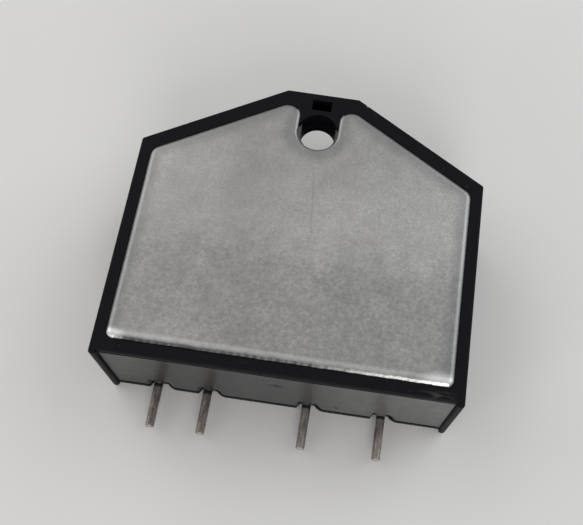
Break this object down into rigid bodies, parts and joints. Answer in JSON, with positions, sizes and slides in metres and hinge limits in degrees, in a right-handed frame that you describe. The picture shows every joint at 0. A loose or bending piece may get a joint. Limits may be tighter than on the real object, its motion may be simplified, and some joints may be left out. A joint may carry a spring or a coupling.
{
  "type": "solid state relay",
  "caption": "House-shaped potted solid state relay for a circuit board, with an aluminium heat spreader face, a mounting hole at its peak and a single row of round pins.",
  "frame": {"origin": "centre of the overall box in X and Y, pins included, on the flat back face", "axes": "+X across the shell, +Y from the pins towards the mounting hole, +Z out of the aluminium plate; the part lies on its back"},
  "size_m": [0.0344, 0.0344, 0.0122],
  "materials": {
    "housing": "near-black moulded plastic, satin",
    "plate": "plain aluminium, satin, mottled, with a rolled edge",
    "potting": "black epoxy, glossy as poured",
    "pin": "tinned wire, tarnished",
    "ceramic": "white alumina, fine matte",
    "bond": "grey thermal adhesive",
    "copper": "bare copper, satin",
    "silicon": "sawn and metallised silicon",
    "board": "glass epoxy board, green mask",
    "gate_wire": "tinned copper wire",
    "opto": "black moulded package",
    "lead": "tinned lead frame",
    "chip_resistor": "black glaze on ceramic",
    "diode": "black moulded package",
    "capacitor": "dipped film capacitor case",
    "solder": "tin solder, satin"
  },
  "bodies": {
    "root": {"housing_shell": "housing", "heat_spreader_plate": "plate", "potting_compound": "potting", "thermal_bond_layer": "bond", "ceramic_substrate": "ceramic", "load_track_1": "copper", "load_track_2": "copper", "thyristor_chip_1": "silicon", "thyristor_chip_2": "silicon", "cathode_strap_1": "copper", "cathode_strap_2": "copper", "control_board": "board", "gate_wires": "gate_wire", "optocoupler_body": "opto", "optocoupler_leads": "lead", "input_resistor": "chip_resistor", "input_diode": "diode", "current_limiter": "diode", "gate_resistors": "chip_resistor", "snubber_capacitor": "capacitor", "snubber_resistor": "chip_resistor", "load_solder_joints": "solder", "control_solder_joints": "solder", "control_pin_positive": "pin", "control_pin_negative": "pin", "load_pin_1": "pin", "load_pin_2": "pin"}
  },
  "joints": []
}
